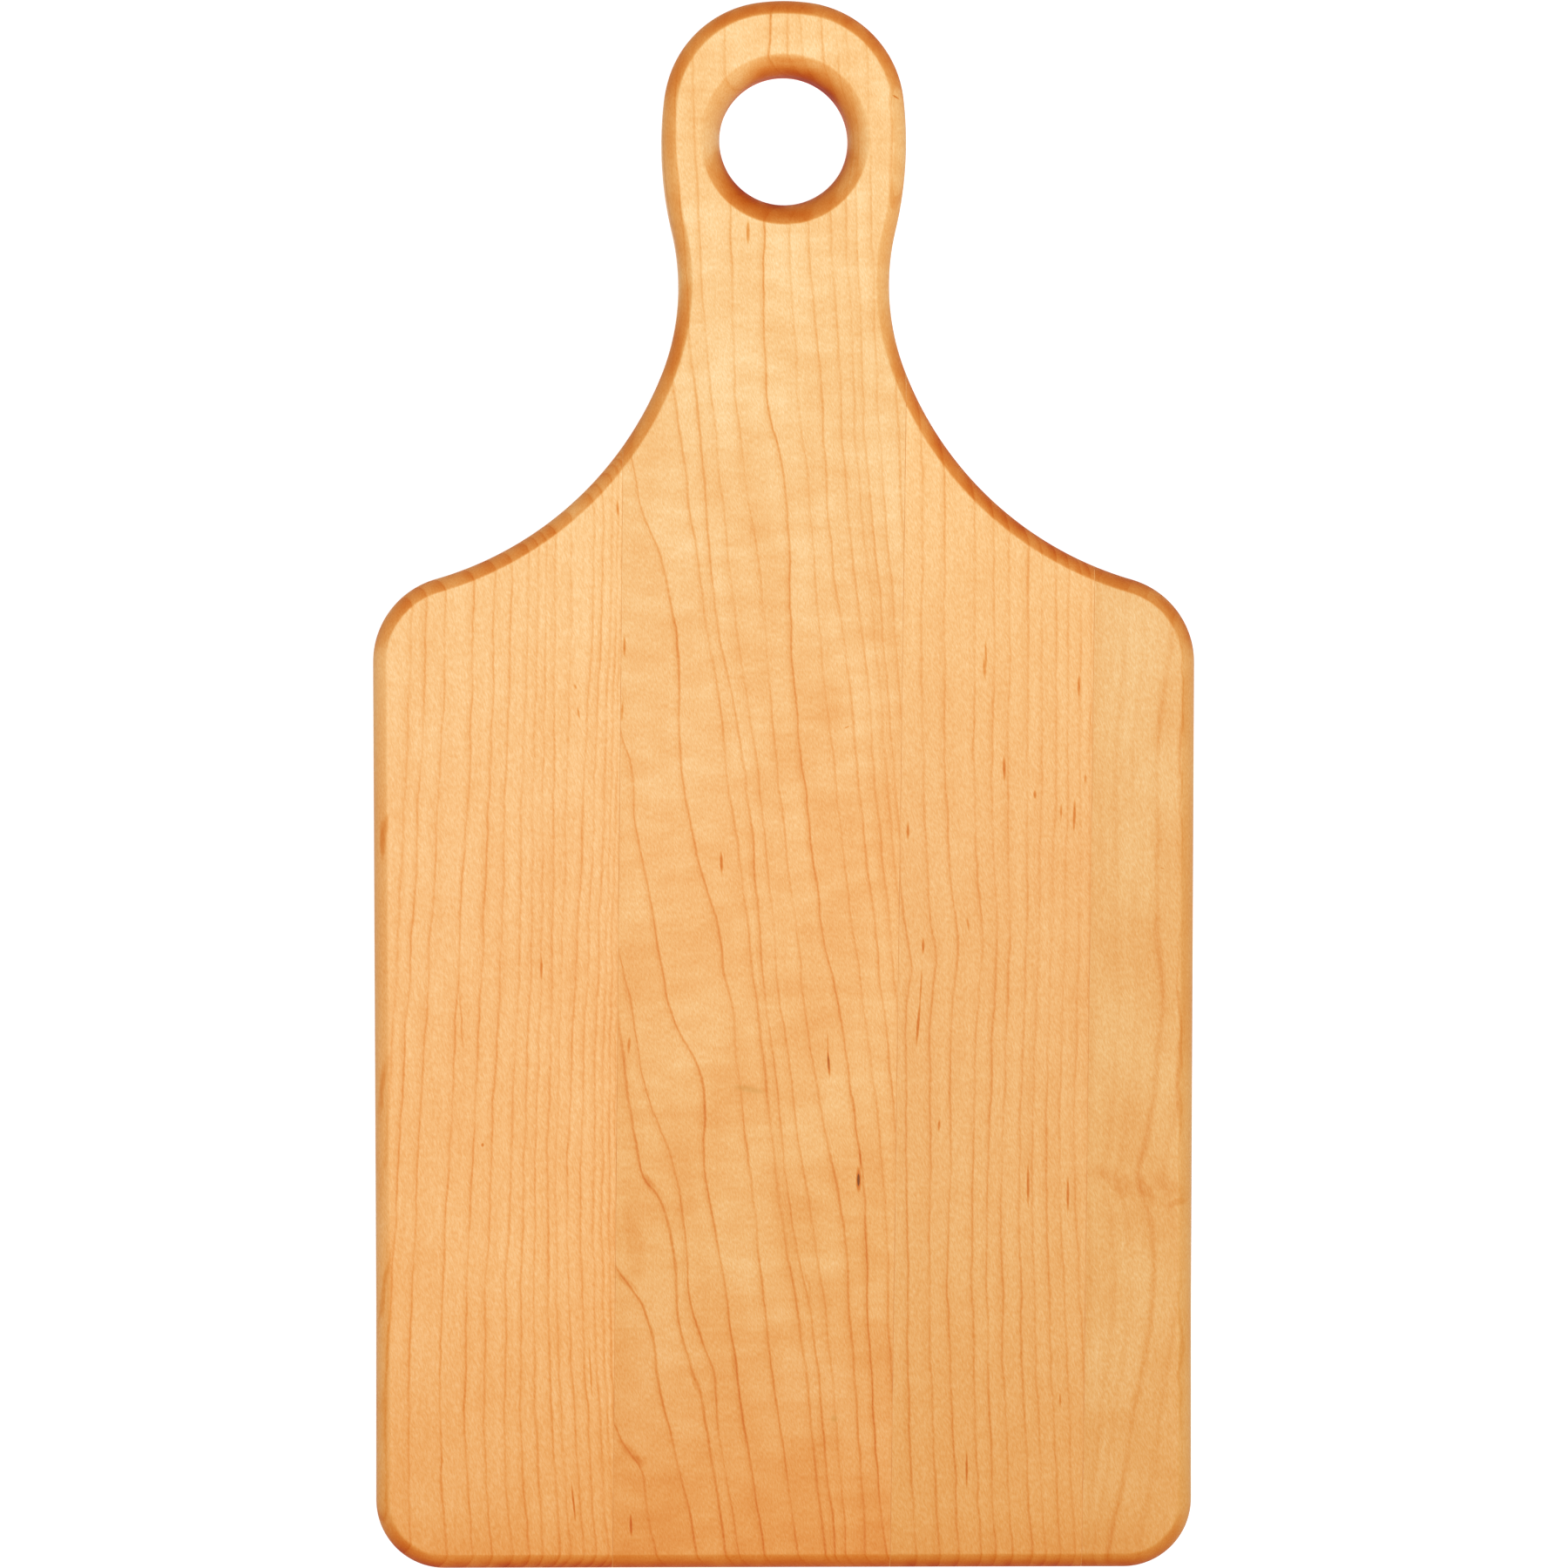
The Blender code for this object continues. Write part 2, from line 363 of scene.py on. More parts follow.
LEFT_GRAIN = {
    "guides": (
        ((65, -88), (-20, -91.5), (-171, -97)),
        ((65, -77.5), (30, -78.2), (0, -79.4), (-20, -80.4), (-40, -81.6), (-60, -82.9),
         (-90, -84.6), (-120, -86), (-171, -86.5)),
        ((65, -67.5), (30, -68), (0, -68.9), (-20, -70.1), (-60, -72.1), (-90, -73.5),
         (-110, -74.6), (-135, -75), (-155, -74.5), (-171, -73.3)),
        ((65, -55.4), (30, -56.2), (0, -57), (-30, -57.6), (-60, -58.7), (-90, -60), (-120, -60.9),
         (-150, -60.7), (-171, -58.8)),
        ((65, -49.5), (0, -50.4), (-30, -50.6), (-90, -51.6), (-120, -51.2), (-150, -50.1),
         (-171, -48.6)),
        ((65, -41.6), (30, -42.1), (0, -43.7), (-30, -45.1), (-60, -46.5), (-90, -47.5),
         (-120, -46.7), (-150, -45.1), (-171, -43.5)),
        ((65, -33.5), (0, -34.8), (-60, -35.8), (-110, -35.6), (-150, -34.3), (-171, -32.5)),
        ((65, -20), (-60, -21), (-171, -18)),
    ),
    "rings": (
        (0.72, 0.28), (1.0, 0.55), (1.4, 0.5), (2.0, 0.55), (2.39, 0.55), (2.69, 0.45), (3.0, 0.38),
        (3.35, 0.4), (3.66, 0.4), (4.0, 0.45), (4.42, 0.3), (5.0, 0.45), (5.26, 0.4), (5.5, 0.38),
        (5.66, 0.33), (5.79, 0.36), (5.9, 0.33), (6.12, 0.36), (6.3, 0.4), (6.45, 0.34),
        (6.62, 0.4), (6.85, 0.36),
    ),
    "slant": -0.7,
    "flecks": (
        (-53.0, -40.2, 0.32, 2.4, 0, 0.52), (-65.8, -78.6, 0.34, 0.45, 0, 0.7),
        (-44.9, 15.4, 0.25, 1.3, 9, 0.5), (-45.6, 21.2, 0.22, 0.6, 20, 0.4),
        (-36.4, 60.0, 0.3, 1.6, 4, 0.6), (-42.3, -128.0, 0.22, 5.6, 3, 0.46),
        (-46.0, -156.6, 0.24, 4.4, 6, 0.78),
    ),
    "colours": ((248, 205, 145), (248, 203, 142), (241, 185, 121), (237, 177, 110), (229, 163, 92)),
    "ring_width": 0.23,
    "shade_and_oil_patches": ((-44.0, 64.0, 14.0, 9.0, -40, -0.2), (-82.0, -164.0, 7.0, 7.0, 0, 0.3)),
    "mottle": 0.16,
    "stains": (
        (-87.4, -12.0, 0.8, 4.6, 0, 0.8), (-87.7, -66.5, 0.7, 7.0, -7, 0.6),
        (-87.3, -111.0, 0.6, 10.0, -8, 0.5), (-70.4, -51.5, 0.35, 7.0, 1, 0.5),
    ),
    "grazes": (),
    "curl_sheen": 0.08,
    "banding": 0.5,
    "base_oil_and_shade": 0.28,
    "near_base_depth": 0.17,
    "seed": 3.1,
}

CENTRE_GRAIN = {
    "guides": (
        ((171, -95), (-100, -64), (-139, -50), (-171, -40)),
        ((171, -80), (-100, -55), (-125, -46), (-134, -41), (-139, -37.4), (-143, -35.6),
         (-147, -32.8), (-150, -31), (-155, -30.4), (-160, -29.7), (-171, -27.4)),
        ((171, -70), (-60, -50), (-85, -44), (-98, -39.5), (-105, -36.7), (-110, -33.4),
         (-113, -31.1), (-117, -29.6), (-122, -28.4), (-130, -27.5), (-140, -25.4), (-150, -22.9),
         (-171, -18.5)),
        ((171, -62), (0, -44), (-35, -38.5), (-50, -36.1), (-70, -33.7), (-80, -32.2), (-85, -30.9),
         (-91, -26.7), (-97, -24.9), (-110, -23.5), (-120, -22.6), (-126, -20.8), (-132, -18.4),
         (-140, -17.1), (-150, -15.5), (-171, -12.2)),
        ((171, -56), (0, -40), (-25, -38), (-39, -35.7), (-46, -33.7), (-55, -32.2), (-61, -31.7),
         (-67, -30.2), (-75, -27.3), (-80, -25), (-88, -23.1), (-100, -21.6), (-110, -21),
         (-121, -18.1), (-126, -16.1), (-130, -15.2), (-140, -14.5), (-150, -12.9), (-171, -9.4)),
        ((171, -52), (60, -41), (25, -37.5), (10, -35.5), (4, -33.7), (-7, -32.8), (-17, -31),
         (-28, -28.7), (-42, -26.6), (-48, -25.4), (-53, -23.4), (-60, -19.7), (-64, -18.3),
         (-70, -17.4), (-80, -17.7), (-87, -17.1), (-93, -16), (-110, -12.9), (-130, -10.3),
         (-150, -7.1), (-171, -3.9)),
        ((171, -45), (110, -40), (85, -37), (70, -33.3), (60, -31.3), (50, -27.1), (40, -24.6),
         (30, -23.3), (8, -22.6), (0, -22.2), (-10, -20.3), (-20, -17.6), (-30, -14.7),
         (-40, -13.3), (-50, -11.3), (-60, -10.6), (-80, -8.1), (-100, -5.9), (-130, -2.5),
         (-150, 0.3), (-171, 3.4)),
        ((171, -25), (110, -22), (90, -20.1), (70, -17.6), (50, -16.4), (40, -15.3), (30, -13.8),
         (20, -11.4), (10, -9.8), (-10, -7.2), (-30, -5.7), (-50, -3.8), (-70, -1.3), (-90, 0.6),
         (-105, 3.7), (-120, 6.3), (-140, 8.5), (-171, 11)),
        ((171, -13.3), (110, -11.4), (80, -10.3), (70, -9.1), (60, -7.5), (50, -5.8), (30, -3.9),
         (10, -2.2), (-10, -0.1), (-30, 2.3), (-50, 4.7), (-70, 7.7), (-90, 12), (-100, 13.2),
         (-120, 14.5), (-150, 16.6), (-171, 17.9)),
        ((171, -2.8), (110, -4.6), (95, -4.3), (80, -3.2), (70, -0.6), (60, 0.4), (30, 1.4),
         (10, 3.1), (-10, 5.4), (-30, 8), (-50, 11.8), (-70, 14.9), (-90, 17.3), (-110, 18),
         (-130, 18.9), (-150, 20.3), (-171, 22.4)),
        ((171, 3.4), (110, 5.8), (90, 7.7), (70, 8.7), (50, 10.3), (30, 13.1), (10, 15.4),
         (-10, 17.3), (-30, 19.6), (-50, 21.7), (-70, 23.9), (-100, 25.5), (-171, 28)),
        ((171, 13), (110, 16.3), (80, 17.3), (60, 18.9), (30, 21.7), (10, 23.3), (-10, 24.9),
         (-60, 29), (-171, 34)),
        ((171, 24), (110, 24), (70, 25.6), (30, 28), (-10, 31), (-60, 35), (-171, 40)),
    ),
    "rings": (
        (1.0, 0.8), (2.0, 0.75), (3.0, 0.7), (4.0, 0.6), (5.0, 0.8), (6.0, 0.72), (6.73, 0.55),
        (7.0, 0.65), (7.38, 0.42), (8.0, 0.5), (9.0, 0.85), (9.57, 0.38), (10.0, 0.5),
        (10.46, 0.42), (10.78, 0.34), (11.0, 0.42), (11.42, 0.4), (11.97, 0.4),
    ),
    "slant": 0.9,
    "flecks": (
        (16.1, -86.3, 0.56, 2.7, 0, 1.0), (16.5, -81.5, 0.25, 2.5, 3, 0.5),
        (9.6, -61.0, 0.34, 2.8, 4, 0.93), (9.4, -57.0, 0.18, 3.0, 2, 0.4),
        (-33.9, -56.8, 0.35, 2.0, -4, 0.5), (-34.9, 30.0, 0.3, 2.2, 0, 0.65),
        (-35.4, 15.8, 0.3, 2.2, -4, 0.4), (-13.8, -17.2, 0.35, 2.4, 2, 0.75),
        (13.6, 12.4, 0.6, 0.18, 25, 0.5), (-8.0, 120.3, 0.4, 2.6, 0, 0.6),
        (-33.5, -161.5, 0.32, 2.4, 2, 0.87), (24.3, 149.8, 0.9, 0.22, -30, 0.8),
    ),
    "colours": ((249, 203, 140), (244, 198, 136), (237, 178, 111), (230, 171, 102), (223, 150, 75)),
    "ring_width": 0.23,
    "shade_and_oil_patches": (
        (-28.0, 150.0, 7.5, 24.0, 0, 0.4), (-24.0, 120.0, 6.0, 12.0, 0, 0.22),
        (-22.5, 99.0, 6.0, 13.0, 0, 0.5), (-29.0, 78.0, 8.0, 10.0, -15, -0.16),
        (-12.0, 136.0, 5.0, 7.0, 0, -0.2), (13.0, 133.5, 5.0, 6.0, 0, -0.28),
        (-8.0, 168.0, 26.0, 7.0, 0, 0.3), (0.0, 122.5, 9.0, 4.0, 0, 0.2),
        (2.0, 158.6, 8.0, 1.5, 0, 0.5),
    ),
    "mottle": 0.30,
    "stains": (
        (-33.4, -145.4, 1.0, 4.2, 38, 0.4), (-31.9, -147.6, 0.7, 1.8, 35, 0.4),
        (-33.0, -151.5, 2.2, 3.5, 20, 0.15), (-29.2, -87.4, 0.9, 3.8, 33, 0.35),
        (-29.9, -86.4, 0.6, 1.6, 33, 0.2), (-34.2, -108.6, 0.9, 3.6, 38, 0.35),
        (-18.7, -119.0, 0.5, 3.5, 20, 0.25), (-19.6, -130.0, 0.9, 3.4, 24, 0.4),
        (-10.9, -126.0, 0.6, 3.2, 8, 0.28), (4.9, -109.8, 0.45, 5.0, 14, 0.3),
        (18.1, -97.0, 0.3, 2.5, 2, 0.25), (-33.2, -100.0, 2.5, 9.0, 10, 0.2),
        (-4.0, 48.0, 5.0, 12.0, 10, 0.15),
    ),
    "grazes": ((-7.9, -66.5, 0.75, 3.7, 79, 0.42), (10.8, -138.3, 0.8, 0.8, 0, 0.5)),
    "curl_sheen": 0.40,
    "banding": 0.12,
    "base_oil_and_shade": 0.05,
    "near_base_depth": 0.05,
    "seed": 8.4,
}

RIGHT_GRAIN = {
    "guides": (
        ((90, 15), (-171, 20)),
        ((90, 24.3), (0, 24.6), (-20, 25.3), (-30, 26), (-37, 27.2), (-40, 27.7), (-44, 27.1),
         (-50, 26.5), (-60, 26.3), (-80, 26.3), (-100, 26.8), (-120, 26.9), (-140, 27.2),
         (-150, 27.6), (-171, 29.2)),
        ((90, 35), (20, 34.8), (0, 35), (-20, 36.4), (-30, 37.2), (-37, 37.7), (-44, 36.9),
         (-50, 36.7), (-60, 36.2), (-90, 36), (-110, 35.5), (-130, 36.2), (-150, 37.1),
         (-171, 38.3)),
        ((90, 45.8), (20, 45.5), (0, 45.3), (-20, 45.8), (-35, 46.3), (-50, 45.7), (-80, 44.5),
         (-105, 44.1), (-130, 44.6), (-150, 45.2), (-171, 46.1)),
        ((90, 53.3), (0, 53.1), (-40, 52.6), (-60, 52), (-80, 51.4), (-110, 51.4), (-130, 52.2),
         (-150, 52.8), (-171, 54.2)),
        ((90, 59.3), (0, 59), (-30, 58.3), (-60, 57.4), (-90, 57.3), (-110, 57.6), (-130, 58.2),
         (-150, 59.2), (-171, 60.1)),
        ((90, 65), (20, 64.4), (-40, 64.1), (-60, 63.5), (-80, 63.2), (-100, 63.8), (-120, 64.9),
         (-140, 65.8), (-171, 67)),
        ((90, 70), (-40, 69.5), (-171, 72)),
    ),
    "rings": (
        (1.0, 0.55), (1.54, 0.45), (2.0, 0.55), (2.61, 0.45), (3.0, 0.45), (3.45, 0.4), (4.0, 0.45),
        (4.48, 0.35), (5.0, 0.36), (5.48, 0.32), (6.0, 0.3), (6.45, 0.3),
    ),
    "slant": -0.3,
    "flecks": (
        (26.9, -10.3, 0.32, 1.8, 0, 0.75), (43.9, 28.5, 0.25, 3.0, 2, 0.5),
        (43.6, 25.3, 0.4, 2.6, 2, 0.5), (64.2, 21.3, 0.32, 2.4, 0, 0.6),
        (47.9, 3.4, 0.35, 2.8, 1, 0.75), (54.6, -2.3, 0.35, 1.0, 2, 0.65),
        (60.3, -6.0, 0.28, 1.8, 0, 0.5), (63.2, -7.0, 0.34, 3.6, -2, 0.7),
        (65.6, 1.2, 0.3, 1.0, 0, 0.5), (40.0, -30.4, 0.25, 1.6, 8, 0.45),
        (30.2, -35.4, 0.3, 1.7, 0, 0.75), (29.1, -52.5, 0.34, 4.6, -5, 0.78),
        (29.7, -44.5, 0.22, 4.6, -3, 0.5), (33.7, -74.4, 0.3, 1.2, -4, 0.65),
        (53.1, -87.5, 0.32, 4.4, 0, 0.75), (61.8, -89.6, 0.32, 3.8, 0, 0.75),
        (39.7, -149.4, 0.26, 4.0, 0, 0.75), (60.1, -134.3, 0.3, 1.4, 0, 0.5),
    ),
    "colours": ((248, 200, 136), (247, 198, 134), (235, 177, 111), (228, 170, 102), (222, 157, 84)),
    "ring_width": 0.23,
    "shade_and_oil_patches": (),
    "mottle": 0.08,
    "stains": ((67.5, 28.6, 0.3, 4.0, 0, 0.7), (67.2, 10.0, 0.25, 16.0, 1, 0.3)),
    "grazes": (),
    "curl_sheen": 0.12,
    "banding": 0.4,
    "base_oil_and_shade": 0.25,
    "near_base_depth": 0.12,
    "seed": 5.7,
}

EDGE_GRAIN = {
    "guides": (
        ((60, 55), (-171, 55)),
        ((60, 86), (27, 84), (8, 81.5), (-13, 81.4), (-32, 81.5), (-46, 82.4), (-60, 81.4),
         (-73, 80), (-82, 77.8), (-86, 77), (-90, 78.3), (-95, 80), (-114, 80.3), (-129, 77.9),
         (-139, 75.9), (-150, 74.5), (-161, 71.8), (-171, 70)),
        ((60, 105), (-171, 105)),
    ),
    "rings": (
        (0.45, 0.12), (0.66, 0.14), (0.8, 0.1), (1.0, 0.34), (1.2, 0.14), (1.5, 0.1),
    ),
    "slant": 0.5,
    "flecks": ((82.4, -18.4, 0.5, 0.16, -15, 0.4),),
    "colours": ((243, 196, 133), (240, 192, 129), (230, 175, 108), (226, 171, 103), (221, 160, 89)),
    "ring_width": 0.7,
    "shade_and_oil_patches": ((84.0, 40.0, 9.0, 11.0, 30, -0.35), (82.0, -164.0, 7.0, 7.0, 0, 0.25)),
    "mottle": 0.36,
    "stains": (
        (72.2, -86.6, 2.2, 6.2, 58, 0.34), (78.6, -88.6, 1.3, 4.2, 32, 0.4),
        (85.6, -91.4, 0.8, 3.0, 106, 0.34), (84.0, -88.0, 2.5, 6.0, 60, 0.2),
        (86.3, -60.0, 0.45, 28.0, 0, 0.4), (86.5, 8.0, 0.4, 30.0, 0, 0.35),
        (86.6, -125.0, 0.4, 20.0, 0, 0.3),
    ),
    "grazes": (),
    "curl_sheen": 0.10,
    "banding": 0.2,
    "base_oil_and_shade": 0.15,
    "near_base_depth": 0.13,
    "seed": 6.9,
}

# Noise: the size of its blotches along x, y and z, what is added to the seed, and how much finer
# detail it has. Sizes are in millimetres, apart from FADING's and ZONES' x, which is in rings.
WAVER = ((9, 13, 9), 1, 0.0)
RIPPLE = ((3, 4.5, 3), 2, 0.0)
FADING = ((5 / 31, 16, 9), 3, 0.0)
PORES = ((0.35, 0.6, 0.5), 4, 1.0)
ZONES = ((1 / 1.4, 45, 1), 5, 1.0)
FIBRES = ((0.28, 0.9, 0.28), 10, 1.0)
STREAKS = ((0.9, 16, 1.5), 11, 2.0)
# The curly figure's bands are painted sheen from the wavy fibres.
CURL_SHEEN = ((9, 4, 7), 12, 3.0)
MOTTLE = ((12, 18, 12), 13, 0.6)
BLOTCHES = ((5, 7, 4), 14, 1.0)
BLUR = ((3, 9, 3), 15, 1.0)
BASE_DARKENING_EDGE = ((2.2, 40, 40), 16, 0.0)
GLUE_CLOUDS = ((3, 9, 3), 0, 2.0)
GLUE_GRAIN = ((0.4, 0.8, 0.4), 2.4, 0.0)

# The growth rings' small waves and sideways steps, in millimetres. Their lines fade and break
# into pores, shade off on the older side, and are strongest near the base.
GUIDE_REACH = 110.0
COUNT_STEP = 0.5
LEAST_CLOSENESS = 0.02
WAVER_REACH = 0.9
RIPPLE_REACH = 0.45
FADING_RANGE = 1.5
FADING_MEAN = 0.85
LEAST_FADING = 0.1
PORE_RANGE = 1.3
PORE_MEAN = 0.95
OLDER_SIDE = (-2.2, -0.1)
YOUNGER_SIDE = (0.5, 0.0)
RING_SHADE = 0.18
LINE_STRENGTH = (0.5, 0.1, 0.46, 0.66)

# A patch is full inside and fades out round its edge, and reaches this deep into the board.
PATCH_EDGE = (1.25, 0.35)
PATCH_DEPTH = 4.0
BLUR_REACH = 3.0

# How much oil wood takes up, from facing the base at 0, past sideways, to facing the handle at 1.
SOAK = (
    (0.0, 1.0), (0.1, 0.82), (0.275, 0.31), (0.4, 0.16), (0.46, 0.05), (0.5, 0.0), (0.54, 0.08),
    (0.6, 0.42), (0.725, 0.72), (0.9, 0.85), (1.0, 0.92),
)
BASE_FACING = (0.25, 0.08)
HANDLE_FACING = (0.6, 0.85)
# Painted shade: edges facing right and towards the handle, and left and towards the base, darken;     edges facing the other two diagonals stay paler.
SKEW_SHADE = 0.8
BLOTCH_SOAK = 1.1

# Painted shade in the hanging hole: its walls are darker, most in the middle of the board's
#     thickness and on its right wall.
HOLE_REACH = (7.0, 4.0)
HOLE_SHADE = 0.3
HOLE_MIDDLE = (5.5, 1.0)
HOLE_MIDDLE_SHADE = 0.5
HOLE_RIGHT = (-0.2, -0.8)
HOLE_RIGHT_SHADE = 0.3

# The board's edges change from the faces inwards, and their flat middle shows the rings most.
INWARD = (8.0, 4.5)
INWARD_SOAK = 0.25
INWARD_HANDLE_SOAK = -0.4
FLAT_SIDE = (5.4, 3.2)
FLAT_SIDE_SOAK = -0.5
FLAT_SIDE_BANDING = 0.45
BAND_MEAN = 0.33
SIDEWAYS = (0.1, 0.6)
SIDE_ALONG = (0.05, 0.45)
SIDE_SOAK = 0.2
STEEP = (0.97, 0.8)

# The upper face darkens unevenly towards the base edge, between these places.
BASE_DARKENING = (-157.0, -168.6)
BASE_DARKENING_WAVES = 5.0

# How much each kind of figure adds to the depth of colour. Oil and the painted shade with it hide
# the rings.
GUM_TONE = 1.1
STAIN_TONE = 0.6
FIBRE_TONE = 0.55
STREAK_TONE = 0.10
ZONE_TONE = 0.18
FIBRE_LEAN = 0.25
OIL_HIDES = 0.95
BANDING_KEEPS = 0.8
LEAST_RING = 0.2

# How each depth of colour takes away red, green and blue. Near the base the figure takes away
# more blue, and gum does so everywhere.
TAKEN = (0.28, 1.0, 2.05)
NEAR_BASE = (0.33, 0.05)
YELLOWED = 0.3
GUM_YELLOWED = 0.2
COLOUR_PLACES = (0.03, 0.2, 0.45, 0.75, 1.0)
GUM = (0.22, 0.06, 0.006, 1.0)
GUM_CORE = (0.88, 1.0)
GRAZE = (0.57, 0.27, 0.048, 1.0)

# The wood's sheen and relief.
SPECULAR = 0.12
REFRACTION = 1.35
ROUGHNESS = 0.44
FIBRE_ROUGHNESS = 0.25
OIL_ROUGHNESS = 0.10
RING_RELIEF = -0.6
FIBRE_RELIEF = 0.5
GUM_RELIEF = -0.8
GRAZE_RELIEF = -1.5
WOOD_RELIEF = (0.35, 0.00004)

# The glue, from the base to the handle, where it is pale and where it is amber.
PALE_GLUE = ((222, 150, 76), (245, 190, 122))
AMBER_GLUE = ((206, 128, 58), (230, 160, 88))
GLUE_TONE = (-0.25, 0.25)
GLUE_FINE_TONE = 0.5
GLUE_SEED = 2.3
GLUE_ROUGHNESS = 0.42
GLUE_ROUGHNESS_RANGE = 0.3
GLUE_RELIEF = (0.3, 0.00003)


# ---------------------------------------------------------------- materials


def linear(red, green, blue):
    """Turn a display colour from 0 to 255 into a linear one."""
    channels = []
    for level in (red, green, blue):
        share = level / 255
        channels.append(share / 12.92 if share <= 0.04045 else ((share + 0.055) / 1.055) ** 2.4)
    return (*channels, 1.0)


def start_material(name):
    """Begin a material, and give it with its wiring, shader, and place in millimetres."""
    material = bpy.data.materials.new(name)
    material.use_nodes = True
    wiring = Wiring(material.node_tree)
    shader = material.node_tree.nodes["Principled BSDF"]
    shader.inputs["Specular IOR Level"].default_value = SPECULAR
    shader.inputs["IOR"].default_value = REFRACTION
    place = wiring.add("ShaderNodeTexCoord").outputs["Object"]
    place = wiring.vector("MULTIPLY", place, (MM, MM, MM))
    return material, wiring, shader, place


def add_relief(wiring, shader, height, relief):
    """Give a shader a fine relief."""
    strength, distance = relief
    bump = wiring.add("ShaderNodeBump")
    bump.inputs["Strength"].default_value = strength
    bump.inputs["Distance"].default_value = distance
    wiring.feed(bump.inputs["Height"], height)
    wiring.feed(shader.inputs["Normal"], bump.outputs[0])


def way_along(wiring, place):
    """Give the way along the board, 0 at the base and 1 at the end of the handle."""
    y = wiring.split(place)["Y"]
    return wiring.math("MULTIPLY_ADD", y, 1 / LENGTH_MM, 0.5)


def guide_course(wiring, along, guide):
    """Give a guide's x in millimetres from the way along the board."""
    width = 2 * GUIDE_REACH
    points = []
    for y, x in reversed(guide):
        points.append((y / LENGTH_MM + 0.5, (x + GUIDE_REACH) / width))
    return wiring.math("MULTIPLY_ADD", wiring.curve(along, points), width, -GUIDE_REACH)


def ring_count(wiring, courses, x, rings):
    """Count the growth rings from a stave's left side to x, with whole numbers on the rings."""
    place = 0.0
    for left, right in zip(courses, courses[1:]):
        step = wiring.span(x, left, right, interpolation="LINEAR")
        place = wiring.math("ADD", place, step)
    stretches = len(courses) - 1
    last = len(rings) + 1
    points = [(0.0, 0.0)]
    for number, (ring_place, _) in enumerate(rings, 1):
        points.append((ring_place / stretches, number / last))
    points.append((1.0, 1.0))
    share = wiring.curve(wiring.math("DIVIDE", place, stretches), points)
    return wiring.math("MULTIPLY", share, last)


def ring_depth(wiring, nearest, rings):
    """Give the depth of colour of the nearest ring."""
    last = len(rings) + 1
    points = [(0.0, 0.0)]
    for number, (_, depth) in enumerate(rings, 1):
        points.append((number / last, depth))
    points.append((1.0, 0.0))
    return wiring.curve(wiring.math("DIVIDE", nearest, last), points)


def unwaved(wiring, place, grain):
    """Give x with the rings' small waves, and their slant through the board, taken out."""
    parts = wiring.split(place)
    waver = wiring.noise(place, grain["seed"], WAVER)
    ripple = wiring.noise(place, grain["seed"], RIPPLE)
    down = wiring.math("SUBTRACT", THICKNESS_MM, parts["Z"])
    x = wiring.math("MULTIPLY_ADD", down, -grain["slant"], parts["X"])
    x = wiring.math("MULTIPLY_ADD", waver, WAVER_REACH, x)
    return wiring.math("MULTIPLY_ADD", ripple, RIPPLE_REACH, x)


def growth_rings(wiring, place, grain):
    """Give the depth of the rings' lines, the tone of the wood between, and the way across it."""
    parts = wiring.split(place)
    seed = grain["seed"]
    rings = grain["rings"]
    along = way_along(wiring, place)
    courses = [guide_course(wiring, along, guide) for guide in grain["guides"]]
    x = unwaved(wiring, place, grain)
    count = ring_count(wiring, courses, x, rings)
    count_beside = ring_count(wiring, courses, wiring.math("ADD", x, COUNT_STEP), rings)
    closeness = wiring.math("SUBTRACT", count_beside, count)
    closeness = wiring.math("DIVIDE", closeness, COUNT_STEP)
    closeness = wiring.math("MAXIMUM", closeness, LEAST_CLOSENESS)
    nearest = wiring.math("ROUND", count)
    distance = wiring.math("DIVIDE", wiring.math("SUBTRACT", count, nearest), closeness)

    # A ring is a fine dark line, broken into pores, with a soft shade on the older side.
    pores = wiring.noise(place, seed, PORES)
    pores = wiring.math("MULTIPLY_ADD", pores, PORE_RANGE, PORE_MEAN)
    narrow = wiring.math("MULTIPLY", distance, 1 / grain["ring_width"])
    line = wiring.math("EXPONENT", wiring.product(narrow, narrow, -1.0))
    line = wiring.product(line, pores, wiring.span(along, *LINE_STRENGTH))
    older = wiring.span(distance, *OLDER_SIDE)
    younger = wiring.span(distance, *YOUNGER_SIDE)
    shade = wiring.product(older, older, younger, RING_SHADE)
    line = wiring.math("ADD", line, shade)

    fading = wiring.join(nearest, parts["Y"], parts["Z"])
    fading = wiring.noise(fading, seed, FADING)
    fading = wiring.math("MULTIPLY_ADD", fading, FADING_RANGE, FADING_MEAN)
    fading = wiring.math("MAXIMUM", fading, LEAST_FADING)
    lines = wiring.product(line, ring_depth(wiring, nearest, rings), fading)
    zones = wiring.noise(wiring.join(count, parts["Y"], 0.0), seed, ZONES)
    return lines, zones, wiring.math("FRACT", count)


def patches(wiring, place, rows):
    """Add up the depths of long patches, which lie near the upper face."""
    cover = 0.0
    for x, y, half_width, half_length, lean, depth in rows:
        patch = wiring.add("ShaderNodeMapping", (place,), vector_type="TEXTURE")
        patch.inputs["Location"].default_value = (x, y, THICKNESS_MM)
        patch.inputs["Rotation"].default_value = (0.0, 0.0, math.radians(lean))
        patch.inputs["Scale"].default_value = (half_width, half_length, PATCH_DEPTH)
        reach = wiring.length(patch.outputs[0])
        cover = wiring.math("ADD", cover, wiring.span(reach, *PATCH_EDGE, 0.0, depth))
    return cover


def hole_share(wiring, place):
    """Give 1 on the walls of the hanging hole, and 0 away from it."""
    from_hole = wiring.vector("SUBTRACT", place, HOLE_PLACE_MM)
    from_hole = wiring.vector("MULTIPLY", from_hole, (1.0, 1.0, 0.0))
    outer, inner = HOLE_REACH
    reach = wiring.length(from_hole)
    return wiring.span(reach, HOLE_RADIUS_MM + outer, HOLE_RADIUS_MM + inner)


